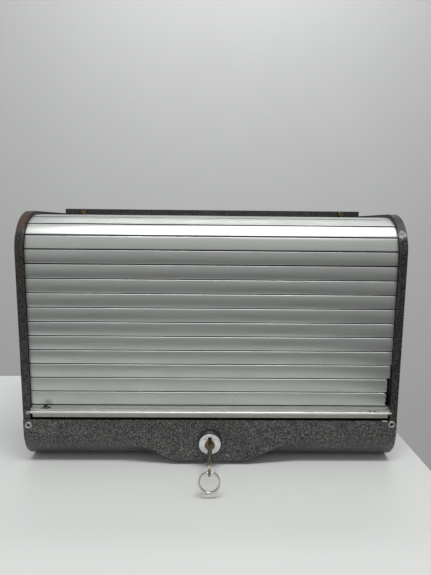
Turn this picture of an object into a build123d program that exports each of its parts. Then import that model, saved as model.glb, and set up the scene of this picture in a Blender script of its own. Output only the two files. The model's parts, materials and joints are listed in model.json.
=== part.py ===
"""Bread box with a roll top: sheet-metal case, tambour front of aluminium slats, cam lock with key and ring.

Frame: +Z up, the front faces -Y, +X to the right. The origin is the middle of the underside. Millimetres.
"""
from build123d import *
import math
import os

# ---- driving dimensions ----
WIDTH = 420.0            # over the two side panels
HEIGHT = 284.5           # underside to the top of the side rims
FRONT_Y = -88.0          # front plane of the side rims
BACK_Y = 87.0            # inner face of the back panel
SHEET = 1.0              # steel sheet thickness
TOP_FRONT_R = 44.5       # side panel, upper front corner
BOTTOM_FRONT_R = 38.0    # side panel, lower front corner
REAR_R = 3.0             # side panel, rear corners
RIM_WIDTH = 8.3          # rim of the side panel, across
LIP_DEPTH = 4.4          # folded inner lip of the rim, from the rim's face
STRIP_RISE = 7.0         # back panel above the rims

RECESS = 3.5             # slat face below the rim face
PATH_FRONT_R = 41.0      # slat face path, upper front bend
PATH_REAR_R = 30.0       # slat face path, upper rear bend
PATH_DEPTH = 147.0       # front run to rear run of the path
PITCH = 15.85            # slat to slat
SLATS = 23
SLAT_HEIGHT = 13.6
SLAT_DEPTH = 2.2
SLAT_CROWN = 0.55
SLAT_WALL = 0.9
SLAT_HALF = 201.25       # half length, clear of the rims
RAIL_TOP_Z = 69.1
RAIL_BOTTOM_Z = 56.4
RAIL_DEPTH = 5.5
RAIL_WALL = 1.2
RAIL_LIP_CUT = 2.0       # the lower lip stops short at both ends
BEAD_Z = 62.5
BEAD_R = 1.2
BEAD_LEFT = -204.5
BEAD_RIGHT = 203.0

RAIL_RIVET_X = (178.6, 184.0)
RAIL_RIVET_Z = 64.6
SCREW_X = 184.0
SCREW_Z = HEIGHT + 3.2
SCREW_HEAD_R = 4.25

SKIRT_TOP_Z = 53.3
BEND_Z = 38.0            # where the skirt starts to turn under
TONGUE_BOTTOM_Z = 5.2
TONGUE_HALF_TOP = 109.0
TONGUE_HALF_BOTTOM = 41.5
RIVETS = ((-204.0, 47.0), (204.0, 49.3))   # x, z of the skirt rivets
RIVET_R = 4.0

LOCK_X = -1.2
LOCK_Z = 29.0
COLLAR_R = 13.0
COLLAR_T = 4.5
FACE_R = 12.0
FACE_T = 6.0
BARREL_R = 9.5
BARREL_BACK_Y = -72.0
RECESS_R = 5.8
PLUG_R = 5.7
CAM_LENGTH = 20.0
CAM_WIDTH = 9.0
CAM_T = 2.0
SHANK_R = 2.5
SHANK_FRONT_Y = -138.0
BOW_Y = -150.5           # middle of the key's round bow
BOW_R = 6.2
BOW_T = 2.8
NECK_BACK_Y = -132.0     # where the bow's neck starts on the shank
NECK_HALF = 2.2
HOLE_R = 3.6
HOLE_Y = -151.5
BIT_LENGTH = 5.5
BIT_REACH = 4.6
RING_R = 10.4            # to the middle of the wire
RING_WIRE = 1.5
RING_COILS = 3.0         # two turns side by side
RING_DROP = 1.6          # top of the ring's middle line below the key's axis
RING_LEAN = 8.0          # degrees that the ring leans forwards at rest

CATCH_X = (8.0, 20.0)    # the rail's catch, to the right of the lock
CATCH_PLATE_Y = -68.0
CATCH_SHEET = 1.5
CATCH_ARM_Z = 59.0
CATCH_TAB_Z = 21.5
CATCH_TAB_DEPTH = 5.5
GUIDE_NEAR = 4.9         # guide strip, behind the slat face path
GUIDE_FAR = 5.9
TIE_Y = 73.0
TIE_SHEET = 1.5
TIE_HEIGHT = 12.0

SKIRT_Y = FRONT_Y - SHEET
SLAT_Y = FRONT_Y + RECESS
SLAT_Z = HEIGHT - RECESS
HALF = WIDTH / 2
RIM_IN = HALF - RIM_WIDTH


def line_face(points):
    """A flat face in the Y-Z plane through the points, closed by a straight line."""
    return make_face(Polyline(*points, close=True))


def along_x(face, x0, x1):
    """The Y-Z face pushed along X from x0 to x1."""
    return extrude(Plane.YZ.offset(x0) * face, amount=x1 - x0)


def side_outline(inset):
    """The side panel's outline in the Y-Z plane, moved in by inset."""
    y0 = FRONT_Y + inset
    y1 = BACK_Y - inset
    z0 = SHEET + inset
    z1 = HEIGHT - inset
    rt = TOP_FRONT_R - inset
    rb = BOTTOM_FRONT_R - inset
    rr = max(REAR_R - inset, 0.4)
    c = math.sqrt(0.5)
    edges = [
        Line((y0, z0 + rb), (y0, z1 - rt)),
        ThreePointArc((y0, z1 - rt), (y0 + rt - rt * c, z1 - rt + rt * c), (y0 + rt, z1)),
        Line((y0 + rt, z1), (y1 - rr, z1)),
        ThreePointArc((y1 - rr, z1), (y1 - rr + rr * c, z1 - rr + rr * c), (y1, z1 - rr)),
        Line((y1, z1 - rr), (y1, z0 + rr)),
        ThreePointArc((y1, z0 + rr), (y1 - rr + rr * c, z0 + rr - rr * c), (y1 - rr, z0)),
        Line((y1 - rr, z0), (y0 + rb, z0)),
        ThreePointArc((y0 + rb, z0), (y0 + rb - rb * c, z0 + rb - rb * c), (y0, z0 + rb)),
    ]
    return make_face(edges)


def side_panel(side):
    """A pressed pan: plate, rim turned inwards all round, and the rim's folded lip."""
    plate = along_x(side_outline(0), HALF - SHEET, HALF)
    rim = along_x(side_outline(0) - side_outline(SHEET), RIM_IN, HALF - SHEET)
    lip = along_x(side_outline(SHEET) - side_outline(LIP_DEPTH), RIM_IN, RIM_IN + SHEET)
    pan = plate + rim + lip
    if side < 0:
        pan = mirror(pan, about=Plane.YZ)
    return pan


def path_band(near, far, bottom_z):
    """The face between two curves that follow the slat path, near and far behind the slat face."""
    c = math.sqrt(0.5)

    def run(d):
        rf = PATH_FRONT_R - d
        rr = PATH_REAR_R - d
        y0 = SLAT_Y + d
        y1 = SLAT_Y + PATH_DEPTH - d
        z1 = SLAT_Z - d
        return [
            ((y0, bottom_z), None, (y0, z1 - rf)),
            ((y0, z1 - rf), (y0 + rf - rf * c, z1 - rf + rf * c), (y0 + rf, z1)),
            ((y0 + rf, z1), None, (y1 - rr, z1)),
            ((y1 - rr, z1), (y1 - rr + rr * c, z1 - rr + rr * c), (y1, z1 - rr)),
            ((y1, z1 - rr), None, (y1, bottom_z)),
        ]

    edges = []
    for curve in (run(near), run(far)):
        for start, middle, end in curve:
            if middle is None:
                edges.append(Line(start, end))
            else:
                edges.append(ThreePointArc(start, middle, end))
    edges.append(Line(run(near)[0][0], run(far)[0][0]))
    edges.append(Line(run(near)[-1][2], run(far)[-1][2]))
    return make_face(edges)


def path_point(s):
    """Point (y, z) of the slat face path at arc length s, zero where the front bend starts."""
    bend = PATH_FRONT_R * math.pi / 2
    top = PATH_DEPTH - PATH_FRONT_R - PATH_REAR_R
    rear = PATH_REAR_R * math.pi / 2
    if s <= 0:
        return SLAT_Y, SLAT_Z - PATH_FRONT_R + s
    if s <= bend:
        a = s / PATH_FRONT_R
        return (SLAT_Y + PATH_FRONT_R * (1 - math.cos(a)),
                SLAT_Z - PATH_FRONT_R * (1 - math.sin(a)))
    s -= bend
    if s <= top:
        return SLAT_Y + PATH_FRONT_R + s, SLAT_Z
    s -= top
    if s <= rear:
        a = s / PATH_REAR_R
        return (SLAT_Y + PATH_DEPTH - PATH_REAR_R * (1 - math.sin(a)),
                SLAT_Z - PATH_REAR_R * (1 - math.cos(a)))
    s -= rear
    return SLAT_Y + PATH_DEPTH, SLAT_Z - PATH_REAR_R - s


def next_hinge(s):
    """The arc length at which a point of the path is one pitch, in a straight line, from that at s."""
    y, z = path_point(s)
    low = s
    high = s + 2 * PITCH
    for _ in range(50):
        middle = (low + high) / 2
        ym, zm = path_point(middle)
        if math.hypot(ym - y, zm - z) < PITCH:
            low = middle
        else:
            high = middle
    return low


def slat_solid():
    """One slat at the origin: long along X, its face to -Y, its height along Z."""
    h = SLAT_HEIGHT / 2
    w = SLAT_WALL
    outer = ThreePointArc((SLAT_CROWN, -h), (0, 0), (SLAT_CROWN, h))
    inner = ThreePointArc((SLAT_CROWN + w, h - w), (w, 0), (SLAT_CROWN + w, w - h))
    edges = [
        outer,
        Line((SLAT_CROWN, h), (SLAT_DEPTH, h)),
        Line((SLAT_DEPTH, h), (SLAT_DEPTH, h - w)),
        Line((SLAT_DEPTH, h - w), (SLAT_CROWN + w, h - w)),
        inner,
        Line((SLAT_CROWN + w, w - h), (SLAT_DEPTH, w - h)),
        Line((SLAT_DEPTH, w - h), (SLAT_DEPTH, -h)),
        Line((SLAT_DEPTH, -h), (SLAT_CROWN, -h)),
    ]
    return along_x(make_face(edges), -SLAT_HALF, SLAT_HALF)


def slats():
    """The slats in their closed places, from the one above the rail to the one at the rear."""
    made = {}
    one = slat_solid()
    s = RAIL_TOP_Z - (SLAT_Z - PATH_FRONT_R)
    for k in range(1, SLATS + 1):
        y0, z0 = path_point(s)
        s = next_hinge(s)
        y1, z1 = path_point(s)
        turn = math.degrees(math.atan2(y1 - y0, z1 - z0))
        made[f"slat_{k:02d}"] = Pos(0, (y0 + y1) / 2, (z0 + z1) / 2) * Rot(-turn, 0, 0) * one
    return made


def rod_y(x, z, r, y0, y1):
    """A round rod along Y."""
    return Pos(x, (y0 + y1) / 2, z) * Rot(90, 0, 0) * Cylinder(r, abs(y1 - y0))


def rod_x(y, z, r, x0, x1):
    """A round rod along X."""
    return Pos((x0 + x1) / 2, y, z) * Rot(0, 90, 0) * Cylinder(r, x1 - x0)


def block(x0, x1, y0, y1, z0, z1):
    """A box by its limits."""
    return Pos((x0 + x1) / 2, (y0 + y1) / 2, (z0 + z1) / 2) * Box(x1 - x0, y1 - y0, z1 - z0)


def trapezoid(y, depth):
    """The tongue's outline as a plate from y, depth thick."""
    outline = Polyline(
        (-TONGUE_HALF_TOP, BEND_Z),
        (TONGUE_HALF_TOP, BEND_Z),
        (TONGUE_HALF_BOTTOM, TONGUE_BOTTOM_Z),
        (-TONGUE_HALF_BOTTOM, TONGUE_BOTTOM_Z),
        close=True,
    )
    return extrude(Plane.XZ.offset(-y) * make_face(outline), amount=-depth)


def base_pan():
    """Floor and front skirt in one bent sheet, with a tongue left flat in the middle of the bend."""
    r1 = BOTTOM_FRONT_R + SHEET
    r0 = BOTTOM_FRONT_R
    cy = FRONT_Y + BOTTOM_FRONT_R
    cz = SHEET + BOTTOM_FRONT_R
    c = math.sqrt(0.5)
    edges = [
        Line((SKIRT_Y, SKIRT_TOP_Z), (SKIRT_Y, cz)),
        ThreePointArc((SKIRT_Y, cz), (cy - r1 * c, cz - r1 * c), (cy, 0)),
        Line((cy, 0), (BACK_Y + SHEET, 0)),
        Line((BACK_Y + SHEET, 0), (BACK_Y + SHEET, SHEET)),
        Line((BACK_Y + SHEET, SHEET), (cy, SHEET)),
        ThreePointArc((cy, SHEET), (cy - r0 * c, cz - r0 * c), (FRONT_Y, cz)),
        Line((FRONT_Y, cz), (FRONT_Y, SKIRT_TOP_Z)),
        Line((FRONT_Y, SKIRT_TOP_Z), (SKIRT_Y, SKIRT_TOP_Z)),
    ]
    sheet = along_x(make_face(edges), -HALF, HALF)
    window = trapezoid(SKIRT_Y - 2, 24.0)
    sheet = sheet - window
    tongue = trapezoid(SKIRT_Y, SHEET)
    corners = tongue.edges().filter_by(Axis.Y).group_by(Axis.Z)[0]
    tongue = fillet(corners, 5.0)
    pan = sheet + tongue
    hole = rod_y(LOCK_X, LOCK_Z, BARREL_R, SKIRT_Y - 2, FRONT_Y + 2)
    pan = pan - hole
    for x, z in RIVETS:
        pan = pan - rod_y(x, z, 1.6, SKIRT_Y - 2, FRONT_Y + 2)
    return pan


def back_panel():
    """The flat back, which stands above the rims as a strip."""
    panel = block(-HALF, HALF, BACK_Y, BACK_Y + SHEET, SHEET, HEIGHT + STRIP_RISE)
    for x in (-SCREW_X, SCREW_X):
        panel = panel - rod_y(x, SCREW_Z, 2.0, BACK_Y - 2, BACK_Y + SHEET + 2)
    return panel


def back_screws():
    """Two round-headed screws through the strip, heads to the front."""
    made = []
    for x in (-SCREW_X, SCREW_X):
        head = rod_y(x, SCREW_Z, SCREW_HEAD_R, BACK_Y - 2.0, BACK_Y)
        head = fillet(head.edges().group_by(Axis.Y)[0], 1.4)
        slot = block(x - 0.5, x + 0.5, BACK_Y - 3, BACK_Y - 1.2, SCREW_Z - 5, SCREW_Z + 5)
        stem = rod_y(x, SCREW_Z, 2.0, BACK_Y, BACK_Y + 6)
        made.append((head - slot) + stem)
    return made


def back_nuts():
    """The nuts of the two screws, behind the panel."""
    made = []
    for x in (-SCREW_X, SCREW_X):
        hexagon = extrude(Plane.XZ.offset(-BACK_Y - SHEET) * RegularPolygon(4.0, 6), amount=-3.0)
        made.append(Pos(x, 0, SCREW_Z) * hexagon - rod_y(x, SCREW_Z, 2.0, BACK_Y, BACK_Y + 8))
    return made


def skirt_rivets():
    """Two hollow rivets that hold the skirt to the side rims."""
    made = []
    for x, z in RIVETS:
        head = rod_y(x, z, RIVET_R, SKIRT_Y - 1.3, SKIRT_Y)
        head = fillet(head.edges().group_by(Axis.Y)[0], 0.8)
        stem = rod_y(x, z, 1.6, SKIRT_Y, FRONT_Y)
        well = rod_y(x, z, 1.1, SKIRT_Y - 2, SKIRT_Y + 0.5)
        made.append(head + stem - well)
    return made


def bottom_rail():
    """The extruded rail under the slats: hook, face, groove for the bead, and lower lip."""
    y0 = SLAT_Y
    profile = line_face([
        (y0, RAIL_TOP_Z - 0.6),
        (y0 + RAIL_DEPTH, RAIL_TOP_Z - 0.6),
        (y0 + RAIL_DEPTH, RAIL_BOTTOM_Z),
        (FRONT_Y - 0.2, RAIL_BOTTOM_Z),
        (FRONT_Y - 0.2, BEAD_Z - 1.0),
        (FRONT_Y + 0.6, BEAD_Z - 1.0),
        (FRONT_Y + 0.6, BEAD_Z + 1.0),
        (FRONT_Y - 0.4, BEAD_Z + 1.0),
        (FRONT_Y - 0.4, RAIL_TOP_Z - 3.0),
        (y0, RAIL_TOP_Z - 2.2),
    ])
    rail = along_x(profile, -SLAT_HALF, SLAT_HALF)
    cavity = block(-SLAT_HALF - 1, SLAT_HALF + 1, y0 - RAIL_WALL, y0 + RAIL_DEPTH - RAIL_WALL,
                   RAIL_BOTTOM_Z + RAIL_WALL, RAIL_TOP_Z - 3.4)
    rail = rail - cavity
    for side in (-1, 1):
        x0, x1 = sorted((side * (SLAT_HALF - RAIL_LIP_CUT), side * (SLAT_HALF + 1)))
        rail = rail - block(x0, x1, FRONT_Y - 2, y0 + RAIL_DEPTH + 1, RAIL_BOTTOM_Z - 1, BEAD_Z - 2.2)
    for x in RAIL_RIVET_X:
        rail = rail - rod_y(x, RAIL_RIVET_Z, 0.6, FRONT_Y - 1, FRONT_Y + 2)
    return rail


def rail_bead():
    """The round bead along the rail, longer than the slats, in front of the rims."""
    bead = rod_x(FRONT_Y - 0.4 - BEAD_R, BEAD_Z, BEAD_R, BEAD_LEFT, BEAD_RIGHT)
    key = block(-SLAT_HALF, SLAT_HALF, FRONT_Y - 1.2, FRONT_Y + 0.6, BEAD_Z - 0.9, BEAD_Z + 0.9)
    bore = rod_x(FRONT_Y - 0.4 - BEAD_R, BEAD_Z, 0.6, BEAD_LEFT - 1, BEAD_LEFT + 6)
    return bead + key - bore


def bead_end_rivet():
    """The small hollow rivet in front of the bead's left end."""
    front = FRONT_Y - 0.4 - 2 * BEAD_R
    x = BEAD_LEFT + 1.2
    rivet = rod_y(x, BEAD_Z, 2.2, front - 0.9, front)
    rivet = fillet(rivet.edges().group_by(Axis.Y)[0], 0.5)
    return rivet - rod_y(x, BEAD_Z, 0.9, front - 2, front + 1)


def rail_rivets():
    """Two small rivets in the rail's face."""
    made = []
    for x in RAIL_RIVET_X:
        head = rod_y(x, RAIL_RIVET_Z, 0.9, FRONT_Y - 0.8, FRONT_Y - 0.4)
        made.append(head + rod_y(x, RAIL_RIVET_Z, 0.6, FRONT_Y - 0.4, FRONT_Y + 0.6))
    return made


def rail_catch():
    """The bracket behind the rail whose tab passes under the lock's cam."""
    x0 = LOCK_X + CATCH_X[0]
    x1 = LOCK_X + CATCH_X[1]
    back = SLAT_Y + RAIL_DEPTH
    plate_back = CATCH_PLATE_Y + CATCH_SHEET
    arm_top = CATCH_ARM_Z + CATCH_SHEET
    arm = block(x0, x1, back, plate_back, CATCH_ARM_Z, arm_top)
    foot = block(x0, x1, back, back + CATCH_SHEET, CATCH_ARM_Z, CATCH_ARM_Z + 7.0)
    plate = block(x0, x1, CATCH_PLATE_Y, plate_back, CATCH_TAB_Z, arm_top)
    tab = block(x0, x1, CATCH_PLATE_Y - CATCH_TAB_DEPTH, CATCH_PLATE_Y, CATCH_TAB_Z, CATCH_TAB_Z + CATCH_SHEET)
    return arm + foot + plate + tab


def lock_collar():
    """The dark ring between the skirt and the chrome lock face."""
    ring = rod_y(LOCK_X, LOCK_Z, COLLAR_R, SKIRT_Y - COLLAR_T, SKIRT_Y)
    ring = chamfer(ring.edges().group_by(Axis.Y)[0], 0.8)
    return ring - rod_y(LOCK_X, LOCK_Z, BARREL_R, SKIRT_Y - 10, SKIRT_Y + 1)


def lock_body():
    """The chrome lock: wide bevelled face, barrel through the skirt, bore for the plug."""
    front = SKIRT_Y - COLLAR_T
    face = rod_y(LOCK_X, LOCK_Z, FACE_R, front - FACE_T, front)
    face = chamfer(face.edges().group_by(Axis.Y)[0], 2.2)
    barrel = rod_y(LOCK_X, LOCK_Z, BARREL_R, front, BARREL_BACK_Y)
    bore = rod_y(LOCK_X, LOCK_Z, RECESS_R, front - 10, BARREL_BACK_Y + 1)
    notch = block(LOCK_X - 0.8, LOCK_X + 0.8, front - 10, front - 3, LOCK_Z + RECESS_R - 0.5, LOCK_Z + RECESS_R + 1.6)
    return face + barrel - bore - notch


def lock_nut():
    """The hexagonal nut that clamps the lock to the skirt."""
    hexagon = extrude(Plane.XZ.offset(-FRONT_Y) * RegularPolygon(13.5, 6), amount=-4.0)
    return Pos(LOCK_X, 0, LOCK_Z) * hexagon - rod_y(LOCK_X, LOCK_Z, BARREL_R, FRONT_Y - 1, FRONT_Y + 5)


def lock_plug():
    """The brass plug that turns in the lock, with its keyway, and the square end that takes the cam."""
    front = SKIRT_Y - COLLAR_T - FACE_T + 3.0
    plug = rod_y(LOCK_X, LOCK_Z, PLUG_R, front, BARREL_BACK_Y + 0.2)
    square = block(LOCK_X - 3, LOCK_X + 3, BARREL_BACK_Y + 0.2, BARREL_BACK_Y + 0.2 + CAM_T, LOCK_Z - 3, LOCK_Z + 3)
    keyway = rod_y(LOCK_X, LOCK_Z, SHANK_R + 0.15, front - 1, front + 14)
    wards = block(LOCK_X - 0.9, LOCK_X + 0.9, front - 1, front + 14, LOCK_Z - 4.9, LOCK_Z)
    return plug + square - keyway - wards


def lock_cam():
    """The cam on the plug's square: upright when unlocked, level over the rail's tab when locked."""
    y0 = BARREL_BACK_Y + 0.2
    arm = block(LOCK_X - CAM_WIDTH / 2, LOCK_X + CAM_WIDTH / 2, y0, y0 + CAM_T,
                LOCK_Z - CAM_WIDTH / 2, LOCK_Z + CAM_LENGTH)
    hole = block(LOCK_X - 3, LOCK_X + 3, y0 - 1, y0 + CAM_T + 1, LOCK_Z - 3, LOCK_Z + 3)
    return arm - hole


def cam_screw():
    """The screw head that holds the cam on the plug."""
    y0 = BARREL_BACK_Y + 0.2 + CAM_T
    head = rod_y(LOCK_X, LOCK_Z, 4.2, y0, y0 + 1.3)
    return head - block(LOCK_X - 5, LOCK_X + 5, y0 + 0.7, y0 + 2, LOCK_Z - 0.4, LOCK_Z + 0.4)


def key():
    """The key: round shank with a bit, and a flat bow on edge with a hole for the ring."""
    tip = SKIRT_Y - COLLAR_T - FACE_T + 3.0 + 13.0
    shank = rod_y(LOCK_X, LOCK_Z, SHANK_R, SHANK_FRONT_Y, tip)
    bit = block(LOCK_X - 0.7, LOCK_X + 0.7, tip - 0.5 - BIT_LENGTH, tip - 0.5, LOCK_Z - BIT_REACH, LOCK_Z)
    join_y = BOW_Y + 2.0
    join_half = math.sqrt(BOW_R ** 2 - 2.0 ** 2)
    bow_edges = [
        Line((NECK_BACK_Y, LOCK_Z - NECK_HALF), (NECK_BACK_Y, LOCK_Z + NECK_HALF)),
        Line((NECK_BACK_Y, LOCK_Z + NECK_HALF), (join_y, LOCK_Z + join_half)),
        ThreePointArc((join_y, LOCK_Z + join_half), (BOW_Y - BOW_R, LOCK_Z), (join_y, LOCK_Z - join_half)),
        Line((join_y, LOCK_Z - join_half), (NECK_BACK_Y, LOCK_Z - NECK_HALF)),
    ]
    bow = along_x(make_face(bow_edges), LOCK_X - BOW_T / 2, LOCK_X + BOW_T / 2)
    hole = rod_x(HOLE_Y, LOCK_Z, HOLE_R, LOCK_X - 3, LOCK_X + 3)
    return shank + bit + bow - hole


def split_ring():
    """The ring of two wire turns side by side, in the bow's hole, leaning a little forwards."""
    section = Pos(RING_R, 0) * RectangleRounded(RING_WIRE, RING_COILS, RING_WIRE * 0.45)
    ring = Pos(0, 0, -RING_R) * revolve(Plane.XY * section, axis=Axis.Y)
    return Pos(LOCK_X, HOLE_Y, LOCK_Z - RING_DROP) * Rot(-RING_LEAN, 0, 0) * ring


def build():
    """Every node's solids by name."""
    made = {
        "left_side_panel": side_panel(-1),
        "right_side_panel": side_panel(1),
        "base_pan": base_pan(),
        "back_panel": back_panel(),
        "back_screws": back_screws(),
        "back_nuts": back_nuts(),
        "skirt_rivets": skirt_rivets(),
        "bottom_rail": bottom_rail(),
        "rail_bead": rail_bead(),
        "bead_end_rivet": bead_end_rivet(),
        "rail_rivets": rail_rivets(),
        "rail_catch": rail_catch(),
        "lock_collar": lock_collar(),
        "lock_body": lock_body(),
        "lock_nut": lock_nut(),
        "lock_plug": lock_plug(),
        "lock_cam": lock_cam(),
        "cam_screw": cam_screw(),
        "key": key(),
        "split_ring": split_ring(),
    }
    guide = along_x(path_band(GUIDE_NEAR, GUIDE_FAR, RAIL_TOP_Z), RIM_IN + 0.3, HALF - SHEET)
    made["right_guide"] = guide
    made["left_guide"] = mirror(guide, about=Plane.YZ)
    made["rear_tie_bar"] = block(-RIM_IN, RIM_IN, TIE_Y, TIE_Y + TIE_SHEET, SHEET, SHEET + TIE_HEIGHT)
    made.update(slats())
    return made


os.makedirs("parts", exist_ok=True)
for name, shape in build().items():
    if isinstance(shape, list):
        whole = Compound(children=[piece.solid() for piece in shape])
    else:
        whole = shape.solid()
    whole.label = name
    export_step(whole, f"parts/{name}.step")
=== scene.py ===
"""Bread box with a roll top: materials, detailed pieces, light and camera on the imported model."""
import bmesh
import bpy
import json
import math
import random
from mathutils import Matrix, Vector


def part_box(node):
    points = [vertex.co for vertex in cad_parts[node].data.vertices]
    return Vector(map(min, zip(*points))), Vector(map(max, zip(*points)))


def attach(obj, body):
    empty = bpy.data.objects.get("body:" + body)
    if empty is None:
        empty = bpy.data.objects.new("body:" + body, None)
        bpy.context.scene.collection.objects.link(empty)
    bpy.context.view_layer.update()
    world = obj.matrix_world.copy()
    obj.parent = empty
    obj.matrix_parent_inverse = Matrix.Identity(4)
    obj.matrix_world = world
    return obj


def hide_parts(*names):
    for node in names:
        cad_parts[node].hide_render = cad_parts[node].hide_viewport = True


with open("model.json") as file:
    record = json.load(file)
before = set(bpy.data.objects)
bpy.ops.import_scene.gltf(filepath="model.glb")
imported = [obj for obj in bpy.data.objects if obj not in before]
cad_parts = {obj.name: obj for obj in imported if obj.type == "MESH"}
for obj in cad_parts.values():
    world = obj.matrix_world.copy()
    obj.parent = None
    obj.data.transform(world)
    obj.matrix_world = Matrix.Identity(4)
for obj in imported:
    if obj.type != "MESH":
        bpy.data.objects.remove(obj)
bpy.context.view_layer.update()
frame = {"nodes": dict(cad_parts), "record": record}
scene = bpy.context.scene
MM = 0.001
SKIRT_Y = -0.089            # front face of the skirt

# Middles of the marks that use has left, in metres
RUST_AT = (-0.2045, -0.066, 0.270)
RUST_SPECKS_AT = (-0.206, -0.088, 0.225)
RUB_AT = (0.2045, -0.083, 0.2625)
SHORT_SCRATCH_AT = (0.019, SKIRT_Y, 0.0115)
LONG_SCRATCH_AT = (0.062, SKIRT_Y, 0.0155)
BARE_SPOT_AT = (0.196, SKIRT_Y, 0.0535)
SMUDGE_AT = (-0.183, -0.084, 0.0715)
RAIL_CHIPS_AT = (-0.1845, -0.088, 0.0672)


def shade(colour, factor):
    """A lighter or darker colour."""
    return tuple(min(1.0, factor * c) for c in colour)


# ---------------------------------------------------------------- node helpers

class Mat:
    """A node material with short calls for the nodes it is built from."""

    def __init__(self, name):
        self.material = bpy.data.materials.new(name)
        self.material.use_nodes = True
        self.nodes = self.material.node_tree.nodes
        self.links = self.material.node_tree.links
        self.shader = self.nodes["Principled BSDF"]
        self.place = self.nodes.new("ShaderNodeTexCoord").outputs["Object"]

    def put(self, socket, value):
        """A link if value is a socket, else the value itself."""
        if isinstance(value, bpy.types.NodeSocket):
            self.links.new(value, socket)
        else:
            socket.default_value = value

    def stretched(self, scale, offset=(0, 0, 0)):
        """Object coordinates scaled by three numbers."""
        node = self.nodes.new("ShaderNodeMapping")
        node.inputs["Scale"].default_value = scale
        node.inputs["Location"].default_value = offset
        self.links.new(self.place, node.inputs["Vector"])
        return node.outputs["Vector"]

    def noise(self, scale, detail=3.0, rough=0.5, vector=None, distortion=0.0):
        node = self.nodes.new("ShaderNodeTexNoise")
        node.inputs["Scale"].default_value = scale
        node.inputs["Detail"].default_value = detail
        node.inputs["Roughness"].default_value = rough
        node.inputs["Distortion"].default_value = distortion
        self.links.new(vector or self.place, node.inputs["Vector"])
        return node.outputs["Fac"]

    def cells(self, scale, vector=None, smooth=0.0):
        """Distance to the nearest of many scattered points, rounded off where smooth is above 0."""
        node = self.nodes.new("ShaderNodeTexVoronoi")
        node.feature = "SMOOTH_F1" if smooth else "F1"
        node.inputs["Scale"].default_value = scale
        if smooth:
            node.inputs["Smoothness"].default_value = smooth
        self.links.new(vector or self.place, node.inputs["Vector"])
        return node.outputs["Distance"]

    def ramp(self, value, stops):
        """stops: (position, grey or colour)."""
        node = self.nodes.new("ShaderNodeValToRGB")
        ramp = node.color_ramp
        while len(ramp.elements) < len(stops):
            ramp.elements.new(0.5)
        for element, (position, colour) in zip(ramp.elements, stops):
            element.position = position
            if isinstance(colour, (int, float)):
                colour = (colour, colour, colour)
            element.color = (*colour, 1.0)
        self.links.new(value, node.inputs["Fac"])
        return node.outputs["Color"]

    def spread(self, value, low, high, to_low, to_high):
        """value mapped from low..high to to_low..to_high, clamped."""
        node = self.nodes.new("ShaderNodeMapRange")
        node.inputs["From Min"].default_value = low
        node.inputs["From Max"].default_value = high
        node.inputs["To Min"].default_value = to_low
        node.inputs["To Max"].default_value = to_high
        self.links.new(value, node.inputs["Value"])
        return node.outputs["Result"]

    def math(self, kind, a, b=0.0):
        node = self.nodes.new("ShaderNodeMath")
        node.operation = kind
        self.put(node.inputs[0], a)
        self.put(node.inputs[1], b)
        return node.outputs["Value"]

    def mix(self, amount, a, b):
        node = self.nodes.new("ShaderNodeMix")
        node.data_type = "RGBA"
        self.put(node.inputs["Factor"], amount)
        for socket, value in ((node.inputs[6], a), (node.inputs[7], b)):
            if isinstance(value, tuple):
                value = (*value, 1.0)
            self.put(socket, value)
        return node.outputs[2]

    def attribute(self, name):
        """A number stored at the mesh's points."""
        node = self.nodes.new("ShaderNodeAttribute")
        node.attribute_name = name
        return node.outputs["Fac"]

    def axis(self, name):
        node = self.nodes.new("ShaderNodeSeparateXYZ")
        self.links.new(self.place, node.inputs[0])
        return node.outputs[name]

    def near(self, centre, radius, fade):
        """1 within radius of a point, fading to 0 over fade, in metres."""
        node = self.nodes.new("ShaderNodeVectorMath")
        node.operation = "DISTANCE"
        self.links.new(self.place, node.inputs[0])
        node.inputs[1].default_value = centre
        return self.spread(node.outputs["Value"], radius, radius + fade, 1.0, 0.0)

    def past(self, axis, low, high):
        """0 up to low and 1 from high along one axis, in metres."""
        return self.spread(self.axis(axis), low, high, 0.0, 1.0)

    def patch(self, place, grain, low, high, most=1.0):
        """A ragged patch: rises to most as place times grain goes from low to high."""
        return self.spread(self.math("MULTIPLY", place, grain), low, high, 0.0, most)

    def cover(self, colour, over, mask, strength):
        """colour with another laid over it, by mask times strength."""
        return self.mix(self.math("MULTIPLY", mask, strength), colour, over)

    def edges(self, radius, low, high):
        """1 at convex edges: how far the bevelled normal leaves the true one."""
        bevel = self.nodes.new("ShaderNodeBevel")
        bevel.samples = 4
        bevel.inputs["Radius"].default_value = radius
        geometry = self.nodes.new("ShaderNodeNewGeometry")
        dot = self.nodes.new("ShaderNodeVectorMath")
        dot.operation = "DOT_PRODUCT"
        self.links.new(bevel.outputs["Normal"], dot.inputs[0])
        self.links.new(geometry.outputs["Normal"], dot.inputs[1])
        return self.spread(dot.outputs["Value"], high, low, 0.0, 1.0)

    def bump(self, height, strength, distance, under=None):
        node = self.nodes.new("ShaderNodeBump")
        node.inputs["Strength"].default_value = strength
        node.inputs["Distance"].default_value = distance
        self.links.new(height, node.inputs["Height"])
        if under is not None:
            self.links.new(under, node.inputs["Normal"])
        return node.outputs["Normal"]

    def finish(self, **sockets):
        """The finished material, its shader's sockets given by short names."""
        names = {"colour": "Base Color", "metal": "Metallic", "rough": "Roughness", "normal": "Normal",
                 "aniso": "Anisotropic"}
        for name, value in sockets.items():
            if isinstance(value, tuple):
                value = (*value, 1.0)
            self.put(self.shader.inputs[names[name]], value)
        return self.material


# ---------------------------------------------------------------- materials

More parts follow.
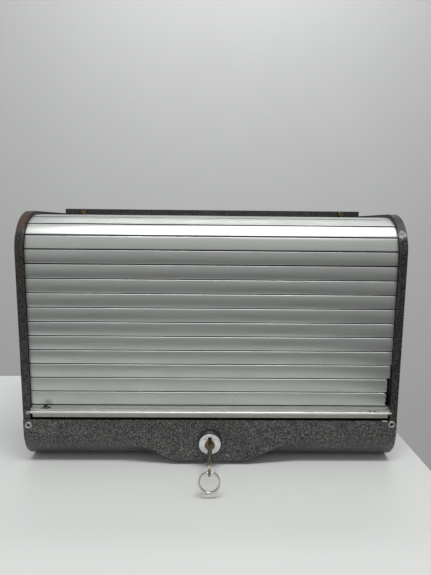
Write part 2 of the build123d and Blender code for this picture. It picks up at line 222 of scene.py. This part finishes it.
def hammertone(name, dark, light, wear_colour, scale=1.0, wear=0.6):
    """Hammered paint: dark closed cells with a paler metallic skin between, worn at the edges."""
    m = Mat(name)
    cell = m.cells(560.0 / scale, smooth=0.2)
    drift = m.noise(430.0 / scale, 2.0, 0.5, distortion=0.8)
    fine = m.noise(1500.0, 3.0, 0.7)
    broad = m.noise(26.0, 4.0, 0.6)
    pattern = m.math("ADD", m.math("MULTIPLY", cell, 0.75), m.math("MULTIPLY", drift, 0.8))
    pattern = m.math("ADD", pattern, m.math("MULTIPLY", fine, 0.25))
    middle = tuple(0.7 * a + 0.3 * b for a, b in zip(dark, light))
    skin = m.ramp(m.spread(pattern, 0.55, 1.25, 0.0, 1.0), [(0.40, dark), (0.54, middle), (0.68, light)])
    dirty = m.mix(m.spread(broad, 0.35, 0.75, 0.0, 0.4), skin, shade(dark, 0.8))
    rubbed = m.spread(m.noise(190.0, 4.0, 0.7), 0.5, 0.58, 0.0, 1.0)
    worn = m.math("MULTIPLY", m.edges(0.0012, 0.75, 0.98), rubbed)
    return m, m.cover(dirty, wear_colour, worn, wear), pattern


def case_paint():
    """The panels' paint, with rust on the left rim and a rubbed place on the right one."""
    m, colour, pattern = hammertone("hammertone", (0.006, 0.0065, 0.006), (0.075, 0.076, 0.073),
                                    (0.42, 0.41, 0.38), scale=0.85, wear=0.15)
    flake = m.noise(520.0, 5.0, 0.75)
    rust = m.patch(m.near(RUST_AT, 0.010, 0.030), m.noise(300.0, 6.0, 0.75), 0.34, 0.5)
    specks = m.patch(m.near(RUST_SPECKS_AT, 0.02, 0.05), m.noise(420.0, 4.0, 0.7), 0.52, 0.6)
    rust = m.math("MAXIMUM", rust, specks)
    rust_colour = m.ramp(flake, [(0.35, (0.016, 0.008, 0.006)), (0.55, (0.075, 0.026, 0.014)),
                                 (0.75, (0.13, 0.055, 0.03))])
    colour = m.cover(colour, rust_colour, rust, 0.92)
    rub = m.patch(m.near(RUB_AT, 0.004, 0.010), m.noise(480.0, 4.0, 0.75), 0.42, 0.52)
    colour = m.cover(colour, (0.5, 0.5, 0.48), rub, 0.85)
    metal = m.math("MULTIPLY", m.spread(pattern, 0.6, 1.2, 0.0, 0.4), m.spread(rust, 0.0, 1.0, 1.0, 0.0))
    rough = m.math("ADD", m.spread(pattern, 0.6, 1.2, 0.28, 0.4), m.math("MULTIPLY", rust, 0.4))
    return m.finish(colour=colour, metal=metal, rough=rough, normal=m.bump(pattern, 0.7, 0.0005))


def skirt_paint():
    """The skirt's paint: two scratches, a bare spot at the top edge and chips at the right end."""
    m, colour, pattern = hammertone("skirt_paint", (0.006, 0.0065, 0.006), (0.18, 0.18, 0.172),
                                    (0.55, 0.54, 0.5), scale=0.6, wear=0.3)
    line = m.noise(70.0, 4.0, 0.7, m.stretched((10.0, 1.0, 1.2)))
    short = m.patch(m.near(SHORT_SCRATCH_AT, 0.0012, 0.004), line, 0.46, 0.56, 0.6)
    line = m.noise(90.0, 4.0, 0.7, m.stretched((3.0, 1.0, 9.0)))
    long = m.patch(m.near(LONG_SCRATCH_AT, 0.008, 0.02), line, 0.58, 0.63)
    colour = m.cover(colour, (0.6, 0.58, 0.53), m.math("MAXIMUM", short, long), 0.8)
    spot = m.math("MULTIPLY", m.near(BARE_SPOT_AT, 0.0022, 0.0012), m.past("Z", 0.0522, 0.0532))
    colour = m.cover(colour, (0.85, 0.84, 0.8), spot, 0.95)
    chips = m.patch(m.past("X", 0.2065, 0.2092), m.noise(330.0, 4.0, 0.75), 0.5, 0.56)
    colour = m.cover(colour, (0.5, 0.49, 0.46), chips, 0.8)
    metal = m.spread(pattern, 0.6, 1.2, 0.0, 0.4)
    rough = m.spread(pattern, 0.6, 1.2, 0.28, 0.42)
    return m.finish(colour=colour, metal=metal, rough=rough, normal=m.bump(pattern, 0.7, 0.0004))


def rolling_lines(m):
    """Fine lines along X, left by rolling or drawing."""
    return m.noise(900.0, 4.0, 0.6, m.stretched((0.012, 1.0, 1.0)))


def slat_metal():
    """Satin rolled aluminium: fine lines, dull patches, pits, one smudge, and the joints painted near black,
    mostly painted shade and partly dirt.
    """
    m = Mat("slat_aluminium")
    base = (0.6, 0.617, 0.597)
    lines = rolling_lines(m)
    streak = m.noise(60.0, 3.0, 0.6, m.stretched((0.08, 1.0, 1.2)))
    cloud = m.noise(9.0, 4.0, 0.6, m.stretched((1.0, 1.0, 1.8)))
    dull = m.mix(m.spread(cloud, 0.3, 0.7, 0.0, 1.0), shade(base, 0.86), base)
    dull = m.mix(m.spread(streak, 0.35, 0.75, 0.0, 0.22), dull, shade(base, 0.62))
    speck = m.cells(85.0, m.stretched((1.0, 1.0, 1.0), (0.31, 0.0, 0.17)))
    pit = m.math("MULTIPLY", m.spread(speck, 0.03, 0.06, 1.0, 0.0),
                 m.spread(m.noise(40.0, 2.0), 0.56, 0.62, 0.0, 1.0))
    colour = m.cover(dull, (0.09, 0.08, 0.06), pit, 0.75)
    smudge = m.patch(m.near(SMUDGE_AT, 0.001, 0.010), m.noise(230.0, 4.0, 0.7), 0.2, 0.75, 0.7)
    colour = m.mix(smudge, colour, (0.05, 0.048, 0.042))
    rough = m.math("ADD", m.spread(cloud, 0.3, 0.7, 0.44, 0.3), m.math("MULTIPLY", pit, 0.3))
    rough = m.math("ADD", rough, m.spread(lines, 0.3, 0.7, -0.05, 0.05))
    # Painted shade, partly dirt: points deep in each joint are made near black, so the gaps read as shadow.
    joint_dirt_and_shade = m.attribute("joint_dirt_and_shade")
    colour = m.mix(joint_dirt_and_shade, colour, (0.012, 0.012, 0.011))
    rough = m.math("ADD", rough, m.math("MULTIPLY", joint_dirt_and_shade, 0.4))
    metal = m.spread(joint_dirt_and_shade, 0.0, 1.0, 0.92, 0.0)
    normal = m.bump(lines, 0.12, 0.00006)
    normal = m.bump(cloud, 0.12, 0.0006, normal)
    return m.finish(colour=colour, metal=metal, rough=rough, normal=normal, aniso=0.35)


def rail_metal():
    """Drawn aluminium with blotches, a darker, browner band along the lower edge and dark chips at the left
    end.
    """
    m = Mat("rail_aluminium")
    base = (0.55, 0.56, 0.53)
    lines = rolling_lines(m)
    blotch = m.noise(70.0, 5.0, 0.7)
    place = m.math("MULTIPLY", m.near(RAIL_CHIPS_AT, 0.004, 0.006), m.past("Z", 0.0655, 0.0662))
    chips = m.patch(place, m.noise(330.0, 4.0, 0.7), 0.42, 0.47)
    # Below the bead the rail is darker and browner.
    low = m.spread(m.axis("Z"), 0.0598, 0.0604, 1.0, 0.0)
    colour = m.mix(m.spread(blotch, 0.4, 0.75, 0.0, 0.4), base, shade(base, 0.6))
    colour = m.cover(colour, (0.3, 0.27, 0.21), low, 0.55)
    colour = m.mix(chips, colour, (0.03, 0.025, 0.02))
    rough = m.math("ADD", m.spread(blotch, 0.3, 0.7, 0.3, 0.42), m.math("MULTIPLY", low, 0.15))
    return m.finish(colour=colour, metal=0.9, rough=rough, normal=m.bump(lines, 0.12, 0.00006))


def plain_metal(name, base, rough, dark, patch=220.0, wear=0.35, bump=0.1, edge=0.5):
    """A metal with cloudy tarnish, fine marks and worn edges."""
    m = Mat(name)
    cloud = m.noise(patch, 4.0, 0.65)
    fine = m.noise(2600.0, 3.0, 0.6)
    colour = m.mix(m.spread(cloud, 0.4, 0.72, 0.0, wear), base, dark)
    if edge:
        colour = m.cover(colour, shade(base, 1.25), m.edges(0.0004, 0.8, 0.98), edge)
    roughness = m.spread(cloud, 0.3, 0.75, rough * 0.8, rough * 1.5)
    return m.finish(colour=colour, metal=1.0, rough=roughness, normal=m.bump(fine, bump, 0.00004))


def black_plastic():
    m = Mat("black_collar")
    fine = m.noise(1800.0, 4.0, 0.6)
    dust = m.noise(140.0, 5.0, 0.7)
    colour = m.mix(m.spread(dust, 0.45, 0.8, 0.0, 0.4), (0.012, 0.012, 0.012), (0.07, 0.068, 0.062))
    rough = m.spread(fine, 0.3, 0.7, 0.32, 0.5)
    return m.finish(colour=colour, rough=rough, normal=m.bump(fine, 0.2, 0.00005))


MATERIALS = {
    "hammertone": case_paint(),
    "skirt_paint": skirt_paint(),
    "slat": slat_metal(),
    "rail": rail_metal(),
    "bead": plain_metal("bead_bright", (0.68, 0.68, 0.67), 0.4, (0.6, 0.59, 0.56),
                        patch=25.0, wear=0.2, bump=0.02, edge=0.0),
    "screw": plain_metal("screw_brown", (0.2, 0.15, 0.075), 0.4, (0.04, 0.028, 0.014), wear=0.85, bump=0.3),
    "steel": plain_metal("plain_steel", (0.42, 0.42, 0.41), 0.38, (0.2, 0.17, 0.14)),
    "dark_steel": plain_metal("dark_steel", (0.05, 0.045, 0.04), 0.5, (0.015, 0.013, 0.012)),
    "collar": black_plastic(),
    "chrome": plain_metal("chrome", (0.86, 0.86, 0.87), 0.08, (0.6, 0.6, 0.6),
                          patch=120.0, wear=0.25, bump=0.03),
    "brass": plain_metal("brass_plug", (0.3, 0.21, 0.08), 0.36, (0.05, 0.035, 0.02), wear=0.8),
    "key_metal": plain_metal("key_nickel", (0.27, 0.24, 0.185), 0.42, (0.11, 0.09, 0.06),
                             patch=400.0, wear=0.8),
    "ring_wire": plain_metal("ring_wire", (0.62, 0.61, 0.58), 0.2, (0.18, 0.16, 0.13), wear=0.6),
}


# ---------------------------------------------------------------- mesh helpers

def piece(name, verts, faces, slot, body, smooth=True, replaces=()):
    """A new mesh object with a slot's material, riding on a body."""
    mesh = bpy.data.meshes.new(name)
    mesh.from_pydata(verts, [], faces)
    mesh.validate()
    bm = bmesh.new()
    bm.from_mesh(mesh)
    bmesh.ops.remove_doubles(bm, verts=bm.verts, dist=1e-7)
    bmesh.ops.recalc_face_normals(bm, faces=bm.faces)
    bm.to_mesh(mesh)
    bm.free()
    if smooth:
        mesh.shade_smooth()
    obj = bpy.data.objects.new(name, mesh)
    scene.collection.objects.link(obj)
    mesh.materials.append(MATERIALS[slot])
    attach(obj, body)
    if replaces:
        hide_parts(*replaces)
    return obj


def bevel(obj, width):
    """Rounded edges wherever two faces meet at 35 degrees or more."""
    mod = obj.modifiers.new("edge", "BEVEL")
    mod.width = width
    mod.segments = 2
    mod.limit_method = "ANGLE"
    mod.angle_limit = math.radians(35)
    mod.harden_normals = True


def body_of_node(node):
    for body, nodes in frame["record"]["behaviour"]["bodies"].items():
        if node in nodes:
            return body
    raise ValueError(node)


def lathe(name, profile, origin, slot, body, steps, replaces=()):
    """profile: (distance along -Y, radius) in metres from origin; turned about Y."""
    verts, faces = [], []
    for a in range(steps):
        t = 2 * math.pi * a / steps
        for d, r in profile:
            verts.append((origin[0] + r * math.cos(t), origin[1] - d, origin[2] + r * math.sin(t)))
    n = len(profile)
    for a in range(steps):
        b = (a + 1) % steps
        for i in range(n - 1):
            faces.append((a * n + i, a * n + i + 1, b * n + i + 1, b * n + i))
    return piece(name, verts, faces, slot, body, replaces=replaces)


# ---------------------------------------------------------------- slats

SLATS = sorted(n for n in frame["nodes"] if n.startswith("slat_"))

# The faces' path: up the front, over a bend, back along the top, over a tighter bend and down
PATH_FRONT_R = 0.041
PATH_REAR_R = 0.030
PATH_DEPTH = 0.147          # from the front run to the rear run
PATH_Y = -0.0845            # the front run
PATH_Z = 0.281              # the top run
PITCH = 0.01585
RAIL_TOP = 0.0691           # height of the lowest joint
FLAT_SLATS = 10             # slats that lie wholly in the front run at rest
WIDE_JOINT_DIRT_AND_SHADE_FROM = 9         # from this slat on, the painted shade and dirt in the joints starts nearer the face, over the rolled edge that catches the light
TORN = {0: 0.0052, 1: 0.0042, 2: 0.0010}    # about how far the right end is torn back, by slat


def path_point(s):
    """Point (y, z) of the slat face path at arc length s, zero where the front bend starts."""
    bend = PATH_FRONT_R * math.pi / 2
    top = PATH_DEPTH - PATH_FRONT_R - PATH_REAR_R
    rear = PATH_REAR_R * math.pi / 2
    if s <= 0:
        return PATH_Y, PATH_Z - PATH_FRONT_R + s
    if s <= bend:
        a = s / PATH_FRONT_R
        return PATH_Y + PATH_FRONT_R * (1 - math.cos(a)), PATH_Z - PATH_FRONT_R * (1 - math.sin(a))
    s -= bend
    if s <= top:
        return PATH_Y + PATH_FRONT_R + s, PATH_Z
    s -= top
    if s <= rear:
        a = s / PATH_REAR_R
        return PATH_Y + PATH_DEPTH - PATH_REAR_R * (1 - math.sin(a)), PATH_Z - PATH_REAR_R * (1 - math.cos(a))
    return PATH_Y + PATH_DEPTH, PATH_Z - PATH_REAR_R - (s - rear)


def next_hinge(s):
    """One pitch further along the path, in a straight line."""
    y, z = path_point(s)
    low, high = s, s + 2 * PITCH
    for _ in range(40):
        mid = (low + high) / 2
        ym, zm = path_point(mid)
        if math.hypot(ym - y, zm - z) < PITCH:
            low = mid
        else:
            high = mid
    return low


def slat_places():
    """(y, z, turn) of each slat's face middle, from the rail upwards."""
    places = []
    s = RAIL_TOP - (PATH_Z - PATH_FRONT_R)
    for _ in SLATS:
        y0, z0 = path_point(s)
        s = next_hinge(s)
        y1, z1 = path_point(s)
        places.append(((y0 + y1) / 2, (z0 + z1) / 2, math.atan2(y1 - y0, z1 - z0)))
    return places


def slat_profile(half):
    """(inward, along) of a slat's section in mm: crowned face, rolled upper edge, hook at each edge."""
    steps = 12
    crown, outer, inner, roll = 0.42, 0.03, 0.95, 0.75
    low, top = -half, half - 0.9
    points = []
    for i in range(steps + 1):
        u = low + 0.45 + (top + half - 0.45) * i / steps
        points.append((outer + crown * (u / half) ** 2, u))
    for i in range(1, 6):
        a = math.radians(18 * i)
        points.append((0.36 + roll * (1 - math.cos(a)), top + roll * math.sin(a)))
    points += [(1.5, top + 0.78), (2.4, top + 0.8), (2.65, top + 1.6), (3.0, top + 1.6),
               (2.8, top + 0.3), (1.8, top), (1.35, top - 0.2)]
    for i in range(steps + 1):
        u = half - 1.5 - (2 * half - 3.0) * i / steps
        points.append((inner + crown * (u / half) ** 2, u))
    points += [(1.9, low + 1.1), (2.15, low + 0.8), (2.15, low + 0.45), (1.7, low + 0.1),
               (1.1, low + 0.02), (0.7, low + 0.08), (0.5, low + 0.22)]
    return points


def make_slat(index, node, place):
    """One rolled slat: slightly wavy along its length, with a ragged right end on the three lowest."""
    rng = random.Random(100 + index)
    phase = rng.uniform(0, 6.28)
    y, z, turn = place
    a = turn + rng.uniform(-0.008, 0.008)
    profile = slat_profile(7.5 if index < FLAT_SLATS else 7.3)
    # How far into a joint the painted shade and dirt begins.
    joint_dirt_and_shade_depth = 1.45 if index < WIDE_JOINT_DIRT_AND_SHADE_FROM else 0.6
    torn = TORN.get(index, 0.0)
    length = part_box(node)[1][0]
    columns = 60
    n = len(profile)
    verts, faces, joint_dirt_and_shade = [], [], []
    for i in range(columns + 1):
        x = -length + 2 * length * i / columns
        wave = 0.00006 * math.sin(x * 19 + phase) + 0.00003 * math.sin(x * 57 + 2.1 * phase)
        for inward, along in profile:
            d = inward * MM + wave
            u = along * MM
            end = x
            if i == columns and torn:
                jag = 0.5 + 0.5 * math.sin(along * 1.9 + index) * math.cos(along * 0.8 + 1.3 * index)
                end = x - torn * (0.55 + 0.6 * jag)
            verts.append((end, y + math.sin(a) * u + math.cos(a) * d, z + math.cos(a) * u - math.sin(a) * d))
            # Points deep in a joint take the painted shade and dirt.
            joint_dirt_and_shade.append(float(abs(along) > 6.3 and inward > joint_dirt_and_shade_depth))
    for i in range(columns):
        for j in range(n):
            k = (j + 1) % n
            faces.append((i * n + j, i * n + k, (i + 1) * n + k, (i + 1) * n + j))
    faces.append(tuple(range(n)))
    faces.append(tuple(columns * n + j for j in reversed(range(n))))
    obj = piece(f"rolled_{node}", verts, faces, "slat", body_of_node(node), replaces=[node])
    layer = obj.data.attributes.new("joint_dirt_and_shade", "FLOAT", "POINT")
    layer.data.foreach_set("value", joint_dirt_and_shade)
    mod = obj.modifiers.new("sharp", "EDGE_SPLIT")
    mod.split_angle = math.radians(40)


for index, (node, place) in enumerate(zip(SLATS, slat_places())):
    make_slat(index, node, place)


# ---------------------------------------------------------------- materials on the CAD nodes

SLOT_OF = {part["node"]: part["material_slot"] for part in frame["record"]["subparts"]}
for node, obj in frame["nodes"].items():
    obj.data.materials.clear()
    obj.data.materials.append(MATERIALS[SLOT_OF[node]])

EDGE_WIDTH = {
    0.0004: ("left_side_panel", "right_side_panel", "back_panel"),
    0.00035: ("base_pan",),
    0.0003: ("bottom_rail", "lock_body", "lock_collar", "lock_nut", "rail_catch", "key"),
}
for width, nodes in EDGE_WIDTH.items():
    for node in nodes:
        bevel(frame["nodes"][node], width)


# ---------------------------------------------------------------- lock, key, ring and rivets

def middle(node):
    lo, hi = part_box(node)
    return Vector([(a + b) / 2 for a, b in zip(lo, hi)])


# (distance forwards, radius) of a hollow rivet's rolled rim, and of the near black disc in its well, which is
# painted shade
RIVET_RIM = [(0.0, 0.0040), (0.0005, 0.0040), (0.0010, 0.0037), (0.0013, 0.0031), (0.00135, 0.0026),
             (0.0012, 0.0021), (0.0008, 0.0018), (-0.0006, 0.0016), (-0.0006, 0.0)]
RIVET_WELL_SHADE = [(0.0002, 0.0017), (0.0001, 0.0010), (0.0002, 0.0003), (0.0002, 0.0)]
RIVET_HALF = 0.004


def rivets():
    """The two hollow rivets at the skirt's upper corners. The left one stands in for both CAD rivets."""
    lo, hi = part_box("skirt_rivets")
    places = {"left": (lo[0] + RIVET_HALF, SKIRT_Y, lo[2] + RIVET_HALF),
              "right": (hi[0] - RIVET_HALF, SKIRT_Y, hi[2] - RIVET_HALF)}
    for side, place in places.items():
        lathe("skirt_rivet_" + side, RIVET_RIM, place, "steel", "case", 40,
              ["skirt_rivets"] if side == "left" else ())
    for side, place in places.items():
        # Painted shade: a near black disc closes each rivet's well.
        lathe("rivet_shade_disc_" + side, RIVET_WELL_SHADE, place, "dark_steel", "case", 32)


rivets()


def split_ring():
    """Two turns of wire side by side, drawn apart a little where they end."""
    centre = middle("split_ring")
    lean = math.radians(8)
    radius, wire = 0.01026, 0.00078
    turns, per_turn = 2.12, 28
    tail, lift = 0.12, 0.0005           # the last part of a turn at each end, and how far it stands out
    curve = bpy.data.curves.new("wire_ring", "CURVE")
    curve.dimensions = "3D"
    curve.bevel_depth = wire
    curve.bevel_resolution = 4
    curve.resolution_u = 8
    curve.use_fill_caps = True
    spline = curve.splines.new("NURBS")
    count = int(turns * per_turn)
    spline.points.add(count)
    for i in range(count + 1):
        t = i / per_turn
        a = 2 * math.pi * t - math.radians(60)
        across = 0.0007 * math.tanh(6.0 * (t - turns / 2))
        r = radius + lift * max(0.0, 1 - t / tail, 1 - (turns - t) / tail)
        up = r * math.sin(a)
        spline.points[i].co = (centre.x + r * math.cos(a),
                               centre.y + math.cos(lean) * across + math.sin(lean) * up,
                               centre.z + math.cos(lean) * up - math.sin(lean) * across, 1.0)
    spline.use_endpoint_u = True
    spline.order_u = 4
    obj = bpy.data.objects.new("wire_ring", curve)
    scene.collection.objects.link(obj)
    curve.materials.append(MATERIALS["ring_wire"])
    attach(obj, "ring")
    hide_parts("split_ring")


split_ring()


def lock_notch_shade():
    """A near black block in the notch over the lock's recess: painted shade where the pocket is shadowed."""
    lo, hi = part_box("lock_body")
    x = (lo[0] + hi[0]) / 2
    z = (lo[2] + hi[2]) / 2
    y = lo[1]
    half, deep = 0.0019, 0.0022
    low, high = z + 0.0055, z + 0.0089
    ahead = 0.00004             # keeps its face clear of the chrome behind it
    outline = [(-half, low), (half, low), (half, high - 0.0006), (half * 0.6, high), (-half * 0.6, high),
               (-half, high - 0.0006)]
    verts = [(x + a, y - ahead, b) for a, b in outline] + [(x + a, y + deep, b) for a, b in outline]
    n = len(outline)
    faces = [tuple(range(n)), tuple(range(2 * n - 1, n - 1, -1))]
    faces += [(i, (i + 1) % n, n + (i + 1) % n, n + i) for i in range(n)]
    # The block is painted shade, not a part of the lock.
    piece("lock_notch_shade", verts, faces, "dark_steel", "case", smooth=False)


lock_notch_shade()


def bead():
    """The bright round bead of the rail, open at its left end, very slightly uneven."""
    lo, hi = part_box("rail_bead")
    radius = (hi[2] - lo[2]) / 2
    y, z = lo[1] + radius, lo[2] + radius
    around, columns = 28, 140
    stops = [(0.005, 0.5), (0.0, 0.55), (0.0, 0.85), (0.0003, 1.0)]
    rows = [(lo[0] + x, radius * r) for x, r in stops]
    rows += [(lo[0] + (hi[0] - lo[0]) * i / columns, radius) for i in range(1, columns)]
    rows += [(hi[0] - 0.0003, radius), (hi[0], 0.8 * radius), (hi[0], 0.3 * radius)]
    verts, faces = [], []
    for x, r in rows:
        wave = 0.00003 * math.sin(31 * x) + 0.00002 * math.sin(83 * x + 1.0)
        for k in range(around):
            a = 2 * math.pi * k / around
            verts.append((x, y + wave + (r - abs(wave)) * math.cos(a), z + (r - abs(wave)) * math.sin(a)))
    for i in range(len(rows) - 1):
        for k in range(around):
            n = (k + 1) % around
            faces.append((i * around + k, i * around + n, (i + 1) * around + n, (i + 1) * around + k))
    faces.append(tuple(range(around)))
    faces.append(tuple((len(rows) - 1) * around + k for k in reversed(range(around))))
    piece("bright_bead", verts, faces, "bead", "rail", replaces=["rail_bead"])


bead()


# ---------------------------------------------------------------- stage, light and camera

def stage_mesh(name, verts, faces, colour, rough):
    mesh = bpy.data.meshes.new(name)
    mesh.from_pydata(verts, [], faces)
    obj = bpy.data.objects.new(name, mesh)
    scene.collection.objects.link(obj)
    m = Mat(name)
    cloud = m.noise(2.2, 4.0, 0.6)
    base = m.mix(cloud, shade(colour, 0.97), shade(colour, 1.03))
    mesh.materials.append(m.finish(colour=base, rough=rough))


TABLE_LEFT, TABLE_RIGHT = -1.2, 0.2465
TABLE_FRONT, TABLE_BACK = -0.46, 0.214
TABLE_THICK = 0.022
WALL_Y = 2.4


def stage():
    """A pale table that ends in front of, behind and to the right of the box, and a wall well behind it."""
    near_left, near_right = (TABLE_LEFT, TABLE_FRONT), (TABLE_RIGHT, TABLE_FRONT)
    far_right, far_left = (TABLE_RIGHT, TABLE_BACK), (TABLE_LEFT, TABLE_BACK)
    verts = [(*corner, 0) for corner in (near_left, near_right, far_right, far_left)]
    verts += [(*corner, -TABLE_THICK) for corner in (near_left, near_right, far_right)]
    stage_mesh("table", verts, [(0, 1, 2, 3), (0, 4, 5, 1), (1, 5, 6, 2)], (0.66, 0.67, 0.66), 0.45)
    stage_mesh("wall", [(-6, WALL_Y, -2.5), (6, WALL_Y, -2.5), (6, WALL_Y, 5), (-6, WALL_Y, 5)],
               [(0, 1, 2, 3)], (0.72, 0.73, 0.725), 0.8)


def area_light(name, place, target, size, power):
    data = bpy.data.lights.new(name, "AREA")
    data.shape = "RECTANGLE"
    data.size, data.size_y = size
    data.energy = power
    obj = bpy.data.objects.new(name, data)
    scene.collection.objects.link(obj)
    obj.location = place
    obj.rotation_euler = (Vector(target) - Vector(place)).to_track_quat("-Z", "Y").to_euler()


# (height of the direction's unit vector, grey) of the room, from below the table to overhead
ROOM_LOWEST = -0.5
ROOM_GREYS = ((-0.40, 0.24), (-0.22, 0.15), (-0.09, 0.42), (0.03, 1.25), (0.28, 1.10), (0.55, 1.35),
              (1.0, 0.85))


def room():
    """The world: bands of grey by height, which the metal mirrors."""
    world = bpy.data.worlds.new("room")
    scene.world = world
    world.use_nodes = True
    nodes, links = world.node_tree.nodes, world.node_tree.links
    place = nodes.new("ShaderNodeTexCoord")
    split = nodes.new("ShaderNodeSeparateXYZ")
    spread = nodes.new("ShaderNodeMapRange")
    ramp = nodes.new("ShaderNodeValToRGB")
    links.new(place.outputs["Generated"], split.inputs[0])
    spread.inputs["From Min"].default_value = ROOM_LOWEST
    links.new(split.outputs["Z"], spread.inputs["Value"])
    links.new(spread.outputs["Result"], ramp.inputs["Fac"])
    stops = ramp.color_ramp
    while len(stops.elements) < len(ROOM_GREYS):
        stops.elements.new(0.5)
    for element, (height, grey) in zip(stops.elements, ROOM_GREYS):
        element.position = (height - ROOM_LOWEST) / (1.0 - ROOM_LOWEST)
        element.color = (grey, grey * 1.015, grey, 1)
    links.new(ramp.outputs["Color"], nodes["Background"].inputs["Color"])
    nodes["Background"].inputs["Strength"].default_value = 0.45


def lights():
    area_light("ceiling", (0.12, -0.72, 2.2), (0, -0.05, 0.1), (1.7, 0.32), 32)
    area_light("wall_wash", (0.1, 1.2, 2.6), (0.0, WALL_Y, 0.9), (2.4, 0.6), 22)
    room()
    scene.view_settings.view_transform = "Standard"


CAMERA_AT = (0.0007, -0.5735, 0.2702)
CAMERA_PITCH, CAMERA_YAW, CAMERA_ROLL = 8.086, 0.823, 0.560     # degrees down, to the right, and over
SENSOR = 24.0               # mm, like the lens


def camera():
    pitch, yaw, roll = (math.radians(a) for a in (CAMERA_PITCH, CAMERA_YAW, CAMERA_ROLL))
    forward = Vector((math.sin(yaw) * math.cos(pitch), math.cos(yaw) * math.cos(pitch), -math.sin(pitch)))
    right = Vector((math.cos(yaw), -math.sin(yaw), 0))
    up = right.cross(forward)
    right_turned = math.cos(roll) * right + math.sin(roll) * up
    up_turned = math.cos(roll) * up - math.sin(roll) * right
    data = bpy.data.cameras.new("camera")
    data.sensor_fit = "VERTICAL"
    data.sensor_height = SENSOR
    data.sensor_width = SENSOR
    data.lens = 18.97
    data.shift_x = -0.00645
    data.shift_y = 0.00417
    data.clip_start = 0.01
    obj = bpy.data.objects.new("camera", data)
    scene.collection.objects.link(obj)
    turn = Matrix((right_turned, up_turned, -forward)).transposed().to_4x4()
    obj.matrix_world = Matrix.Translation(CAMERA_AT) @ turn
    scene.camera = obj


stage()
lights()
camera()
